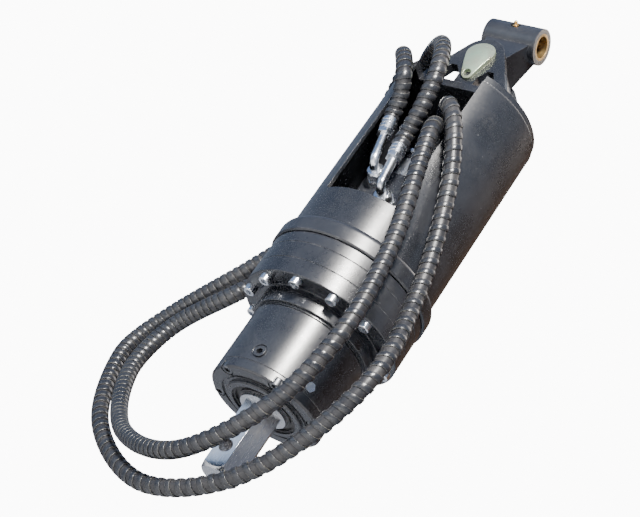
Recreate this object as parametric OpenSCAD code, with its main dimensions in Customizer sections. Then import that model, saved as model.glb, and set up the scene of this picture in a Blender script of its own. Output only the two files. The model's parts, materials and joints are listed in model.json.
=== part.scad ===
// Earth-drill drive: orbital hydraulic motor and planetary gearbox under a steel hood,
// hung from a two-way knuckle, with two guarded hoses and a hexagonal output shaft.
// Frame: origin at the centre of the knuckle's hitch bore, hitch bore along X, +Z up,
// output shaft down, hood window to the front (-Y).
// A "depth" is a distance below the hitch bore: depth 100 is the plane z = -100.

/* [Knuckle and ears] */
// Radius of the hitch bore, inside its bushes
hitch_bore_r = 16; // [14:0.5:17]
// Length of the hitch barrel, along X
hitch_barrel_len = 86; // [76:1:96]
// Outer radius of both knuckle barrels
barrel_r = 27; // [26:0.5:29]
// Depth of the pivot pin
pivot_depth = 85; // [82:1:90]
// Radius of the flag-headed pivot pin
pivot_pin_r = 15; // [13:0.5:15.5]
// Length of the pivot barrel, along Y
pivot_barrel_len = 70; // [60:1:70]
// Wall of the bushes in both barrels
bush_wall = 4; // [3:0.5:4]
// Thickness of each hitch ear
ear_t = 16; // [12:1:18]
// Radius of the ear's rounded top
ear_r = 33; // [30:1:36]
// Angle of the ear's flanks from vertical
ear_flare = 29; // [24:1:30]

/* [Hood] */
// Outer radius of the hood tube
hood_r = 109.5; // [108:0.5:111]
// Wall of the hood tube
hood_wall = 6.3; // [5:0.1:7]
// Depth of the joint between the tube and the top plate
hood_top = 164; // [161:1:166]
// Depth where the tube meets its collar
hood_bottom = 461; // [458:1:464]
// Width of the window, which is open at the top
window_w = 110; // [106:1:112]
// Distance in front of the axis at which the window's notch in the top plate ends
window_notch = 66; // [64:1:72]
// Depth of the window's lower edge
window_bottom = 405; // [395:1:410]
// Outer radius of the collar
collar_r = 118; // [116:0.5:119]

/* [Gearbox casing] */
// Depth of the joint between collar and adapter flange
adapter_top = 490; // [488:0.5:492]
// Depth of the joint between adapter flange and ring gear
ring_top = 508.6; // [507:0.1:510]
// Depth of the joint between ring gear and output housing
ring_bottom = 535; // [534:0.5:536]
// Depth of the underside of the bolted flange
flange_bottom = 560.3; // [559:0.1:562]
// Outer radius of the three stacked flanges
flange_r = 115; // [114:0.5:116]
// Outer radius of the thin rim under the flange
rim_r = 94; // [91:0.5:95]
// Outer radius of the output housing's shoulder
shoulder_r = 86; // [84:0.5:87]
// Depth of the joint between output housing and drum
drum_top = 588; // [587:1:589]
// Outer radius of the drum
drum_r = 82; // [81:0.5:84]
// Depth of the joint between drum and bottom cover
drum_bottom = 679; // [678:1:682]
// Thickness of the bottom cover
cover_t = 16; // [15:1:18]
// Number of cap screws through the stacked flanges
flange_screw_count = 12; // [12]
// Radius of the circle of flange screws
flange_screw_circle = 104; // [103.5:0.5:104.5]
// Radius of the circle of bottom cover screws
cover_screw_circle = 74; // [73:0.5:74]

/* [Gears] */
// Module of the planetary gears
tooth_module = 3.5; // [3.5]
// Teeth on the sun gear
sun_teeth = 15; // [15]
// Teeth on each planet gear
planet_teeth = 18; // [18]
// Teeth in the ring gear
ring_teeth = 51; // [51]
// Number of planet gears
planet_count = 3; // [3]

/* [Output shaft] */
// Width across the flats of the output hexagon
hex_af = 50.8; // [50.8:0.1:51]
// Depth of the shaft's tip
shaft_tip = 808; // [800:1:820]
// Depth of the cross hole for the auger pin
cross_hole_depth = 774; // [765:1:780]
// Radius of the cross hole
cross_hole_r = 9.5; // [8:0.5:11]

/* [Motor] */
// Radius of the motor body
motor_r = 48; // [48:0.5:49]
// Depth of the motor's mounting face
motor_seat = 445; // [445]
// Number of stator rollers
roller_count = 7; // [7]
// Radius of the circle of stator rollers
roller_circle = 32; // [32]
// Radius of each stator roller
roller_r = 8; // [8]
// Distance of the rotor's centre from the motor axis
rotor_offset = 3.2; // [3.2]

/* [Hoses] */
// Outer radius of a hose with its spiral guard
hose_r = 12.5; // [11:0.25:12.5]
// Outer radius of the bent tube of each elbow
elbow_tube_r = 6.5; // [5.5:0.5:7]
// Lean of the left elbow from vertical
left_elbow_lean = 12; // [12]
// Lean of the right elbow from vertical
right_elbow_lean = 8; // [8]

/* [Hidden] */
$fn = 64;

eps = 0.5;                 // overshoot of every cutting solid
running = 0.05;            // radial clearance of a running fit
thread_gap = 0.02;         // radial clearance of a screw in its tapped hole
clearance_gap = 0.25;      // radial clearance of a screw in a plain hole
seat_gap = 0.02;           // left under each screw head

black_paint = "#202328";
zinc = "#c9ced6";
yellow_zinc = "#c8cfae";
bare_steel = "#b9bcc0";
dark_steel = "#6d7076";
bronze = "#b08a4a";
rubber = "#17181a";

front = -90;               // direction of the front, -Y, as an angle from +X
ear_gap = pivot_barrel_len + 2;
ear_outer = ear_gap / 2 + ear_t;
plate_t = 12;
plate_top = hood_top - plate_t;
collar_in_r = 96;
hub_r = 94;
cover_bottom = drum_bottom + cover_t;

m10_r = 5;
m10_head_r = 8;
m10_head_h = 10;

sun_pitch_r = tooth_module * sun_teeth / 2;
planet_pitch_r = tooth_module * planet_teeth / 2;
ring_pitch_r = tooth_module * ring_teeth / 2;
planet_orbit_r = sun_pitch_r + planet_pitch_r;
pressure_angle = 25;
tooth_gap = 0.08;          // thinning of each tooth flank, for backlash
gear_top = ring_top + 1.4;
gear_bottom = ring_bottom - 1;

planet_pin_r = 10;
carrier_top = ring_bottom + 5;
carrier_bottom = carrier_top + 18;
carrier_r = 80;
carrier_cavity_r = 84;
spline_r = 25;             // shaft radius inside the carrier
locknut_seat_r = 27;       // shaft radius under the lock nut
upper_bearing = [576, 27, 27.5, 50, 5];      // depth, width, bore radius, outer radius, roller radius
lower_bearing = [622, 29.5, 30, 55, 5.5];
race_angle = 14;
roller_per_bearing = 18;
seal_journal_r = 34;
seal_out_r = 47.5;
journal_bottom = cover_bottom + 6;
spigot_r = 62;
hex_corner_r = hex_af / 2 / cos(30);

cover_screw_tip = 568;
flange_screw_tip = 470;
plug_depth = 663;
drain_angle = 56;          // direction of the drain plug, from the front towards +X
drain_depth = 669;

spool_top = 318;
spool_r = 24;
stator_bottom = 310;
stator_top = 288;
end_cover_top = 274;
tie_bolt_circle = 42;
tie_bolt_r = 4;
tie_bolt_tip = 326;
mount_bolt_circle = 58;
mount_bolt_r = 6;
shaft_r = 16;              // motor shaft radius below its bearing
sun_bore_r = 14;
geroler_turn = 180 / roller_count;
link_bore_r = 15;
rotor_bore_r = 13;

port_face = 50;            // distance of the port face from the axis, to the front
port_r = 10.5;
left_port = [-24, -338];   // x and z of the port behind each elbow
right_port = [8, -374];
elbow_bend_r = 13;
riser_y = port_face + 35;  // distance of the upright tube from the axis, to the front
ferrule_start = 50;        // along the riser, from the port's height
hose_start = 80;

// Where each hose passes, from its elbow to its coupler
left_route = [
    // up out of the window
    riser_end(left_port, left_elbow_lean), [-39, -98, -232], [-43, -119, -203],
    // over the hood's shoulder and down behind it
    [-78, -99, -154], [-113, -26, -130], [-128, 16, -200], [-125, 28, -310], [-134, 30, -405],
    // round the big outer loop
    [-165, 28, -474], [-272, 66, -585], [-298, 68, -660], [-236, 45, -780], [-94, 8, -849],
    // across under the tip and up the front
    [60, -43, -806], [162, -90, -665], [136, -64, -500], [102, -87, -350],
    // over the window's edge and down inside, behind the motor
    [70, -113, -266], [38, -105, -227], [10, -42, -220], [-8, 45, -250], [-8, 70, -290]
];
right_route = [
    // up across the window
    riser_end(right_port, right_elbow_lean), [6, -108, -240], [4, -127, -183],
    // past the left of the ears, over the top plate and down behind
    [-33, -101, -121], [-83, -36, -106], [-113, 45, -140], [-117, 60, -300], [-120, 58, -420],
    // round the inner loop
    [-160, 24, -530], [-240, 52, -600], [-250, 46, -690], [-174, 10, -790], [-45, -44, -812],
    // across in front of the shaft and up the front
    [62, -88, -730], [103, -108, -615], [90, -106, -470], [60, -113, -345],
    // over the window's edge and down inside, beside the motor
    [48, -118, -290], [39, -104, -265], [38, -81, -268], [46, -60, -310]
];
coupler_end = [left_route[len(left_route) - 1], right_route[len(right_route) - 1]];
route_steps = 7;           // hose sections between two waypoints
hose_sides = 14;

// ---------- shared shapes ----------

module disc(top, bottom, r) {
    translate([0, 0, -bottom]) cylinder(h = bottom - top, r = r);
}

module hole(top, bottom, r) {
    disc(top - eps, bottom + eps, r);
}

module ring(top, bottom, r_out, r_in) {
    difference() {
        disc(top, bottom, r_out);
        hole(top, bottom, r_in);
    }
}

// A ring whose outer edges are chamfered
module chamfered_ring(top, bottom, r_out, r_in, top_chamfer, bottom_chamfer) {
    rotate_extrude()
        polygon([
            [r_in, -bottom], [r_out - bottom_chamfer, -bottom], [r_out, -bottom + bottom_chamfer],
            [r_out, -top - top_chamfer], [r_out - top_chamfer, -top], [r_in, -top]
        ]);
}

module around(count, radius, first = 0) {
    for (i = [0 : count - 1])
        rotate([0, 0, first + i * 360 / count])
            translate([radius, 0, 0])
                children();
}

module along_x(r, length) {
    rotate([0, 90, 0]) cylinder(h = length, r = r, center = true);
}

// A cylinder that runs from y0 to y1
module along_y(r, y0, y1, sides = $fn) {
    translate([0, y1, 0]) rotate([90, 0, 0]) cylinder(h = y1 - y0, r = r, $fn = sides);
}

module hexagon(af, h) {
    cylinder(h = h, r = af / 2 / cos(30), $fn = 6);
}

// A socket-head cap screw whose seat is at z = 0, head above and shank below
module cap_screw(r, length, head_r, head_h, socket_af) {
    edge = 0.8;
    translate([0, 0, seat_gap])
    difference() {
        union() {
            cylinder(h = head_h - edge, r = head_r);
            translate([0, 0, head_h - edge]) cylinder(h = edge, r1 = head_r, r2 = head_r - edge);
            translate([0, 0, -length]) cylinder(h = length, r = r);
        }
        translate([0, 0, head_h * 0.45]) hexagon(socket_af, head_h);
    }
}

// Outline of two circles, one below the other, joined by their outer tangents
module teardrop_outline(r1, r2, drop) {
    slope = asin((r1 - r2) / drop);
    circle(r = r1);
    translate([0, -drop]) circle(r = r2);
    polygon([
        [r1 * cos(slope), -r1 * sin(slope)], [r2 * cos(slope), -drop - r2 * sin(slope)],
        [-r2 * cos(slope), -drop - r2 * sin(slope)], [-r1 * cos(slope), -r1 * sin(slope)]
    ]);
}

module rounded_rect(w, h, r) {
    translate([-w / 2 + r, 0]) square([w - 2 * r, h]);
    translate([-w / 2, r]) square([w, h - 2 * r]);
    for (x = [-1, 1], y = [r, h - r])
        translate([x * (w / 2 - r), y]) circle(r = r);
}

// ---------- gear outlines ----------

// A point of the involute of a circle of radius rb, unrolled by t degrees
function involute(rb, t) = [
    rb * (cos(t) + t * PI / 180 * sin(t)),
    rb * (sin(t) - t * PI / 180 * cos(t))
];
function turned(p, a) = [p[0] * cos(a) - p[1] * sin(a), p[0] * sin(a) + p[1] * cos(a)];
function unroll(rb, r) = r <= rb ? 0 : sqrt(pow(r / rb, 2) - 1) * 180 / PI;
function polar_angle(p) = atan2(p[1], p[0]);

// Outline of a toothed wheel with a tooth centred on +X. Positive thin narrows each flank.
function gear_outline(teeth, root_r, tip_r, thin, steps = 6) =
    let (
        pitch_r = tooth_module * teeth / 2,
        rb = pitch_r * cos(pressure_angle),
        at_pitch = polar_angle(involute(rb, unroll(rb, pitch_r))),
        half = 90 / teeth - thin / pitch_r * 180 / PI + at_pitch,
        t0 = unroll(rb, root_r),
        t1 = unroll(rb, tip_r),
        flank = [for (i = [0 : steps]) turned(involute(rb, t0 + (t1 - t0) * i / steps), -half)],
        foot = root_r < rb ? [turned([root_r, 0], -half)] : [],
        right = concat(foot, flank),
        left = [for (i = [len(right) - 1 : -1 : 0]) [right[i][0], -right[i][1]]]
    )
    [for (k = [0 : teeth - 1]) for (p = concat(right, left)) turned(p, k * 360 / teeth)];

// Fraction of a tooth pitch between a wheel's nearest tooth and a direction
function tooth_phase(direction, teeth, turn) = (direction - turn) * teeth / 360;
function planet_direction(k) = front + k * 360 / planet_count;
function planet_turn(k) =
    planet_direction(k) + 180 - (0.5 - tooth_phase(planet_direction(k), sun_teeth, 0)) * 360 / planet_teeth;
ring_turn =
    planet_direction(0)
    - tooth_phase(planet_direction(0), planet_teeth, planet_turn(0)) * 360 / ring_teeth;

// ---------- hose paths ----------

// End of the upright tube of the elbow on a port, leaning left by the given angle
function riser_end(port, lean) = [
    port[0] - hose_start * sin(lean),
    -riser_y,
    port[1] + hose_start * cos(lean)
];
function unit(v) = v / norm(v);
function tangent_at(p, i, first, last) =
    i == 0 ? first :
    i == len(p) - 1 ? last :
    (p[i + 1] - p[i - 1]) / (norm(p[i + 1] - p[i]) + norm(p[i] - p[i - 1]));
function blend_point(a, b, ta, tb, t) =
    (2 * pow(t, 3) - 3 * pow(t, 2) + 1) * a + (pow(t, 3) - 2 * pow(t, 2) + t) * ta
    + (3 * pow(t, 2) - 2 * pow(t, 3)) * b + (pow(t, 3) - pow(t, 2)) * tb;

// A smooth curve through every waypoint
function smooth_path(p, first, last) = concat(
    [for (i = [0 : len(p) - 2]) for (k = [0 : route_steps - 1])
        blend_point(
            p[i], p[i + 1],
            tangent_at(p, i, first, last) * norm(p[i + 1] - p[i]),
            tangent_at(p, i + 1, first, last) * norm(p[i + 1] - p[i]),
            k / route_steps
        )
    ],
    [p[len(p) - 1]]
);
function path_direction(c, i, first, last) =
    i == 0 ? first : i == len(c) - 1 ? last : unit(c[i + 1] - c[i - 1]);

// Sideways vectors that follow the curve without twisting about it
function side_vectors(c, first, last, i = 0, side = [0, 1, 0], out = []) =
    i == len(c) ? out :
    let (
        d = path_direction(c, i, first, last),
        s = unit(side - d * (side * d))
    )
    side_vectors(c, first, last, i + 1, s, concat(out, [s]));

// A round solid of radius r along the curve c
module swept_round(c, r, first, last) {
    sides = side_vectors(c, first, last);
    rings = len(c);
    points = [
        for (i = [0 : rings - 1])
            let (d = path_direction(c, i, first, last), s = sides[i], n = cross(d, s))
            for (k = [0 : hose_sides - 1])
                c[i] + r * (cos(k * 360 / hose_sides) * s + sin(k * 360 / hose_sides) * n)
    ];
    start_cap = [[for (k = [hose_sides - 1 : -1 : 0]) k]];
    end_cap = [[for (k = [0 : hose_sides - 1]) (rings - 1) * hose_sides + k]];
    walls = [
        for (i = [0 : rings - 2]) for (k = [0 : hose_sides - 1])
            let (a = i * hose_sides + k, b = i * hose_sides + (k + 1) % hose_sides)
            each [[a, b, b + hose_sides], [a, b + hose_sides, a + hose_sides]]
    ];
    polyhedron(points = points, faces = [for (f = concat(start_cap, walls, end_cap))
        [for (k = [len(f) - 1 : -1 : 0]) f[k]]]);
}

// ---------- knuckle and ears ----------

// Wedge that turns from wide along X at the hitch barrel to wide along Y at the pivot barrel
module knuckle_neck() {
    top = -10;
    bottom = -pivot_depth + 12;
    intersection() {
        rotate([90, 0, 0])
            linear_extrude(height = 2 * barrel_r + 20, center = true)
                polygon([[-38, top], [38, top], [17, bottom], [-17, bottom]]);
        rotate([90, 0, 90])
            linear_extrude(height = 2 * barrel_r + 40, center = true)
                polygon([[-18, top], [18, top], [32, bottom], [-32, bottom]]);
    }
}

nipple_lift = 22;          // angle of the grease nipple above the front
nipple_seat = 22.5;        // distance of the nipple's seat from the hitch axis

module at_nipple() {
    rotate([90 - nipple_lift, 0, 0]) translate([0, 0, nipple_seat]) children();
}

module knuckle() {
    color(black_paint)
    difference() {
        union() {
            along_x(barrel_r, hitch_barrel_len);
            translate([0, 0, -pivot_depth]) along_y(barrel_r, -pivot_barrel_len / 2, pivot_barrel_len / 2);
            knuckle_neck();
        }
        along_x(hitch_bore_r + bush_wall, hitch_barrel_len + 2 * eps);
        translate([0, 0, -pivot_depth])
            along_y(pivot_pin_r + running + bush_wall, -pivot_barrel_len, pivot_barrel_len);
        at_nipple() cylinder(h = barrel_r, r = 7.5);
    }
}

module hitch_bushes() {
    bush_len = hitch_barrel_len / 2 - 3;
    color(bronze)
    for (side = [-1, 1])
        translate([side * (hitch_barrel_len - bush_len) / 2, 0, 0])
            difference() {
                along_x(hitch_bore_r + bush_wall, bush_len);
                along_x(hitch_bore_r, bush_len + 2 * eps);
            }
}

module pivot_bushes() {
    bush_len = pivot_barrel_len / 2 - 3;
    color(bronze)
    for (side = [0, 1])
        rotate([0, 0, side * 180])
            translate([0, 0, -pivot_depth])
                difference() {
                    along_y(
                        pivot_pin_r + running + bush_wall,
                        -pivot_barrel_len / 2, bush_len - pivot_barrel_len / 2
                    );
                    along_y(pivot_pin_r + running, -pivot_barrel_len, 0);
                }
}

module grease_nipple() {
    color(yellow_zinc)
    at_nipple() {
        hexagon(9, 4);
        translate([0, 0, 4]) cylinder(h = 3.5, r1 = 3.2, r2 = 2.1);
        translate([0, 0, 8.4]) sphere(r = 2.9);
    }
}

// Ear seen from the front: rounded top, flaring flanks, and two arched cut-outs at the foot
module ear_outline() {
    tangent = [ear_r * cos(ear_flare), -pivot_depth + ear_r * sin(ear_flare)];
    foot_x = tangent[0] + (tangent[1] + plate_top) * tan(ear_flare);
    arch_top = 111;
    difference() {
        union() {
            translate([0, -pivot_depth]) circle(r = ear_r);
            polygon([tangent, [foot_x, -plate_top], [-foot_x, -plate_top], [-tangent[0], tangent[1]]]);
        }
        translate([0, -pivot_depth]) circle(r = pivot_pin_r);
        for (side = [-1, 1])
            polygon([
                [side * 15, -plate_top - eps], [side * 15, -125], [side * 25, -arch_top],
                [side * 34, -arch_top], [side * 42, -126], [side * 42, -plate_top - eps]
            ]);
    }
}

module hitch_ears() {
    color(black_paint)
    for (y = [-ear_gap / 2, ear_outer])
        translate([0, y, 0]) rotate([90, 0, 0]) linear_extrude(height = ear_t) ear_outline();
}

flag_t = 9;
flag_drop = 40;
flag_crown = 120;          // radius of the flag's domed face
pin_tail = ear_outer + 13;

module flag_pin() {
    color(yellow_zinc)
    translate([0, 0, -pivot_depth])
    difference() {
        union() {
            along_y(pivot_pin_r, -ear_outer, pin_tail - 2);
            translate([0, pin_tail, 0])
                rotate([90, 0, 0]) cylinder(h = 2, r1 = pivot_pin_r - 2, r2 = pivot_pin_r);
            intersection() {
                translate([0, -ear_outer, 0])
                    rotate([90, 0, 0])
                        linear_extrude(height = flag_t)
                            teardrop_outline(21, 9, flag_drop);
                translate([0, flag_crown - ear_outer - flag_t, -14]) sphere(r = flag_crown);
            }
        }
        translate([0, 0, -flag_drop]) along_y(5.5, -ear_outer - flag_t - eps, -ear_outer + eps);
        translate([0, ear_outer + 7, 0]) cylinder(h = 3 * pivot_pin_r, r = 2.6, center = true);
    }
}

module pin_washer() {
    color(zinc)
    translate([0, 0, -pivot_depth])
    difference() {
        along_y(24, ear_outer + 0.3, ear_outer + 3.3);
        along_y(pivot_pin_r + 0.2, ear_outer, ear_outer + 4);
    }
}

module split_pin() {
    eye_r = 5;
    wire_r = 2.2;
    color(zinc)
    translate([0, ear_outer + 7, -pivot_depth]) {
        translate([0, 0, -22]) cylinder(h = 40, r = wire_r);
        translate([0, 0, 18 + eye_r])
            rotate([90, 0, 0])
                rotate_extrude()
                    translate([eye_r, 0]) circle(r = wire_r);
    }
}

// ---------- hood ----------

// The window's cut from a distance in front of the axis outwards: round corners below, open above
module window_cut(start) {
    translate([0, -start, -window_bottom])
        rotate([90, 0, 0])
            linear_extrude(height = hood_r)
                rounded_rect(window_w, window_bottom, 5);
}

module hood_tube() {
    color(black_paint)
    difference() {
        ring(hood_top, hood_bottom, hood_r, hood_r - hood_wall);
        window_cut(eps);
    }
}

module hood_collar() {
    round_r = 9;
    color(black_paint)
    difference() {
        rotate_extrude()
            polygon(concat(
                [[collar_in_r, -adapter_top], [collar_r - 2, -adapter_top], [collar_r, -adapter_top + 2]],
                [for (a = [0 : 10 : 90]) [
                    collar_r - round_r + round_r * cos(a),
                    -hood_bottom - round_r + round_r * sin(a)
                ]],
                [[collar_in_r, -hood_bottom]]
            ));
        around(flange_screw_count, flange_screw_circle)
            hole(flange_screw_tip - 2, adapter_top, m10_r + thread_gap);
    }
}

// Lies on the tube's end, set back from its edge by the width of the weld
module hood_top_plate() {
    weld_step = 2;
    color(black_paint)
    difference() {
        disc(plate_top, hood_top, hood_r - weld_step);
        window_cut(window_notch);
    }
}

// ---------- gearbox casing ----------

module flange_screw_holes(top, bottom) {
    around(flange_screw_count, flange_screw_circle) hole(top, bottom, m10_r + clearance_gap);
}

o_ring_r = 0.95;
o_ring_circle = 96.3;
cover_o_ring_circle = 60;

module o_ring_groove(depth_to_face, circle_r, up) {
    rotate_extrude()
        translate([circle_r - 1.1, up ? -depth_to_face : -depth_to_face - 2.1])
            square([2.2, 2.1 + 0.001]);
}

module adapter_flange() {
    color(black_paint)
    difference() {
        union() {
            chamfered_ring(adapter_top, ring_top, flange_r, 10, 2, 0.6);
            chamfered_ring(motor_seat, adapter_top + 1, hub_r, 10, 3, 0);
        }
        hole(motor_seat, ring_top, 22);
        hole(motor_seat, motor_seat + 6, 41.25);
        hole(motor_seat + 30, ring_top, 44);
        hole(ring_top - 8.6, ring_top, carrier_cavity_r);
        o_ring_groove(ring_top, o_ring_circle, true);
        flange_screw_holes(adapter_top, ring_top);
        around(4, mount_bolt_circle, 45) hole(motor_seat, motor_seat + 25, mount_bolt_r + thread_gap);
    }
}

module ring_gear() {
    ring_tip_r = ring_pitch_r - 0.9 * tooth_module;
    ring_root_r = ring_pitch_r + 1.25 * tooth_module;
    color(black_paint)
    difference() {
        chamfered_ring(ring_top, ring_bottom, flange_r, ring_tip_r - 5, 0.6, 0.6);
        translate([0, 0, -ring_bottom - eps])
            linear_extrude(height = ring_bottom - ring_top + 2 * eps)
                rotate(ring_turn)
                    polygon(gear_outline(ring_teeth, ring_tip_r, ring_root_r, -tooth_gap));
        flange_screw_holes(ring_top, ring_bottom);
    }
}

module output_housing() {
    rim_bottom = flange_bottom + 5;
    shoulder_top = rim_bottom + 4.5;
    shoulder_bottom = drum_top - 3;
    waist_r = 81.5;            // bottom of the grooves above and below the shoulder
    color(black_paint)
    difference() {
        union() {
            chamfered_ring(ring_bottom, flange_bottom, flange_r, 50, 0.6, 1);
            chamfered_ring(flange_bottom - 1, rim_bottom, rim_r, 50, 0, 0.6);
            ring(rim_bottom - 1, shoulder_top + 1, waist_r, 50);
            chamfered_ring(shoulder_top, shoulder_bottom, shoulder_r, 50, 0.8, 0.8);
            ring(shoulder_bottom - 1, drum_top, waist_r, 50);
        }
        hole(ring_bottom, carrier_bottom + 5, carrier_cavity_r);
        hole(ring_bottom, drum_top, spigot_r + thread_gap);
        o_ring_groove(ring_bottom, o_ring_circle, false);
        flange_screw_holes(ring_bottom, flange_bottom);
        around(6, cover_screw_circle) hole(cover_screw_tip - 2, drum_top, m10_r + thread_gap);
    }
}

module drum() {
    color(black_paint)
    difference() {
        union() {
            chamfered_ring(drum_top, drum_bottom, drum_r, 30, 2, 0.6);
            disc(upper_bearing[0] - 2, drum_top + 1, spigot_r);
        }
        hole(upper_bearing[0] - 2, upper_bearing[0] + upper_bearing[1], upper_bearing[3]);
        hole(drum_top, drum_bottom, 44);
        hole(lower_bearing[0], drum_bottom, lower_bearing[3]);
        around(6, cover_screw_circle) hole(drum_top, drum_bottom, m10_r + clearance_gap);
        translate([0, 0, -plug_depth]) {
            along_y(8 + thread_gap, -drum_r - eps, -lower_bearing[3] + 5);
            along_y(10.5, -drum_r - eps, -drum_r + 1.6);
        }
        rotate([0, 0, drain_angle])
            translate([0, 0, -drain_depth])
                along_y(5 + thread_gap, -drum_r - eps, -lower_bearing[3] + 5);
    }
}

module bottom_cover() {
    boss_h = 4;
    color(black_paint)
    difference() {
        union() {
            chamfered_ring(drum_bottom, cover_bottom, drum_r, 30, 0.6, 2.5);
            disc(drum_bottom - 4, drum_bottom + 1, lower_bearing[3] - 0.1);
            chamfered_ring(cover_bottom - 1, cover_bottom + boss_h, 56, 30, 0, 1.5);
        }
        hole(drum_bottom - 4, cover_bottom + boss_h, seal_journal_r + 1);
        hole(cover_bottom - 9, cover_bottom + boss_h, seal_out_r);
        rotate_extrude() translate([61, -cover_bottom - eps]) square([4, 2 + eps]);
        o_ring_groove(drum_bottom, cover_o_ring_circle, false);
        around(6, cover_screw_circle) {
            hole(drum_bottom, cover_bottom, m10_r + clearance_gap);
            hole(cover_bottom - m10_head_h - 0.5, cover_bottom, m10_head_r + 1);
        }
    }
}

module flange_screws() {
    color(zinc)
    around(flange_screw_count, flange_screw_circle)
        translate([0, 0, -flange_bottom])
            rotate([180, 0, 0])
                cap_screw(m10_r, flange_bottom - flange_screw_tip, m10_head_r, m10_head_h, 8);
}

module cover_screws() {
    seat = cover_bottom - m10_head_h - 0.5;
    color(dark_steel)
    around(6, cover_screw_circle)
        translate([0, 0, -seat])
            rotate([180, 0, 0])
                cap_screw(m10_r, seat - cover_screw_tip, m10_head_r, m10_head_h, 8);
}

module fill_plug() {
    color(black_paint)
    translate([0, 0, -plug_depth])
    difference() {
        along_y(8, -drum_r - 0.8, -drum_r + 14);
        along_y(4.6, -drum_r - 1.5, -drum_r + 6, 6);
    }
}

module drain_plug() {
    color(zinc)
    rotate([0, 0, drain_angle])
    translate([0, 0, -drain_depth]) {
        along_y(7.5, -drum_r - 4, -drum_r - 0.1, 6);
        along_y(5, -drum_r - 0.2, -drum_r + 14);
    }
}

module torus(circle_r, depth_at, r) {
    translate([0, 0, -depth_at]) rotate_extrude() translate([circle_r, 0]) circle(r = r, $fn = 24);
}

module casing_o_rings() {
    color(rubber) {
        torus(o_ring_circle, ring_top - 1.05, o_ring_r);
        torus(o_ring_circle, ring_bottom + 1.05, o_ring_r);
        torus(cover_o_ring_circle, drum_bottom + 1.05, o_ring_r);
    }
}

// ---------- output bearings ----------

// Radius of the rollers' axis at a depth, for a bearing whose race opens downwards
function race_mid_r(b) = (b[2] + b[3]) / 2;
function race_r(b, sign, depth_at) =
    race_mid_r(b) + (depth_at - b[0] - b[1] / 2) * tan(race_angle) + sign * (b[4] + 0.03) / cos(race_angle);

module bearing_cup(b) {
    bottom = b[0] + b[1];
    rotate_extrude()
        polygon([
            [b[3], -b[0]], [b[3], -bottom],
            [race_r(b, 1, bottom), -bottom], [race_r(b, 1, b[0]), -b[0]]
        ]);
}

module bearing_cone(b) {
    top = b[0] + 1;
    bottom = b[0] + b[1] - 1;
    rotate_extrude()
        polygon([
            [b[2], -top], [b[2], -bottom],
            [race_r(b, -1, bottom), -bottom], [race_r(b, -1, top), -top]
        ]);
}

module bearing_roller_set(b) {
    length = b[1] - 8;
    around(roller_per_bearing, race_mid_r(b))
        translate([0, 0, -b[0] - b[1] / 2])
            rotate([0, -race_angle, 0])
                cylinder(h = length, r = b[4], center = true);
}

// The upper bearing's race opens upwards, so it is the same set mirrored about its own middle
module flipped_upper_bearing() {
    middle = upper_bearing[0] + upper_bearing[1] / 2;
    translate([0, 0, -middle]) mirror([0, 0, 1]) translate([0, 0, middle]) children();
}

module bearing_cups() {
    color(bare_steel) {
        flipped_upper_bearing() bearing_cup(upper_bearing);
        bearing_cup(lower_bearing);
    }
}

module bearing_cones() {
    color(bare_steel) {
        flipped_upper_bearing() bearing_cone(upper_bearing);
        bearing_cone(lower_bearing);
    }
}

module bearing_rollers() {
    color(zinc) {
        flipped_upper_bearing() bearing_roller_set(upper_bearing);
        bearing_roller_set(lower_bearing);
    }
}

module output_seal() {
    color(rubber)
    difference() {
        ring(cover_bottom - 8.5, cover_bottom + 1.5, seal_out_r, seal_journal_r + running);
        rotate_extrude() translate([38, -cover_bottom - 1.5 - eps]) square([6, 3 + eps]);
    }
}

// ---------- output shaft and planets ----------

module output_shaft() {
    chamfer_h = 7;
    color(bare_steel)
    difference() {
        union() {
            disc(carrier_top, locknut_top(), spline_r);
            disc(locknut_top(), upper_bearing[0], locknut_seat_r);
            disc(upper_bearing[0], upper_bearing[0] + upper_bearing[1] + 1, upper_bearing[2]);
            disc(upper_bearing[0] + upper_bearing[1] + 1, lower_bearing[0] + lower_bearing[1], lower_bearing[2]);
            disc(lower_bearing[0] + lower_bearing[1], journal_bottom, seal_journal_r);
            intersection() {
                translate([0, 0, -shaft_tip]) hexagon(hex_af, shaft_tip - journal_bottom + 1);
                union() {
                    disc(journal_bottom - 1, shaft_tip - chamfer_h, hex_corner_r + 1);
                    translate([0, 0, -shaft_tip])
                        cylinder(h = chamfer_h, r1 = hex_corner_r - 6, r2 = hex_corner_r + 1);
                }
            }
        }
        translate([0, 0, -cross_hole_depth]) along_y(cross_hole_r, -hex_af, hex_af);
    }
}

function locknut_top() = upper_bearing[0] - 9;

module lock_nut() {
    slot_w = 7;
    color(dark_steel)
    difference() {
        ring(locknut_top(), upper_bearing[0], 38, locknut_seat_r);
        around(4, 36)
            translate([0, -slot_w / 2, -upper_bearing[0] - eps])
                cube([6, slot_w, 10]);
    }
}

module planet_carrier() {
    color(dark_steel)
    difference() {
        union() {
            chamfered_ring(carrier_top, carrier_bottom, carrier_r, 10, 2, 2);
            around(planet_count, planet_orbit_r, front) disc(gear_bottom + 0.5, carrier_top + 1, 16);
            disc(carrier_bottom - 1, locknut_top(), 34);
        }
        hole(carrier_top, locknut_top(), spline_r);
        around(planet_count, planet_orbit_r, front) hole(gear_bottom, carrier_bottom, planet_pin_r);
    }
}

module planet_pins() {
    color(bare_steel)
    around(planet_count, planet_orbit_r, front)
        disc(ring_top - 4, carrier_bottom, planet_pin_r);
}

module planet_retainers() {
    color(dark_steel)
    around(planet_count, planet_orbit_r, front)
        ring(ring_top - 2, gear_top - 0.4, 15, planet_pin_r);
}

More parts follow.
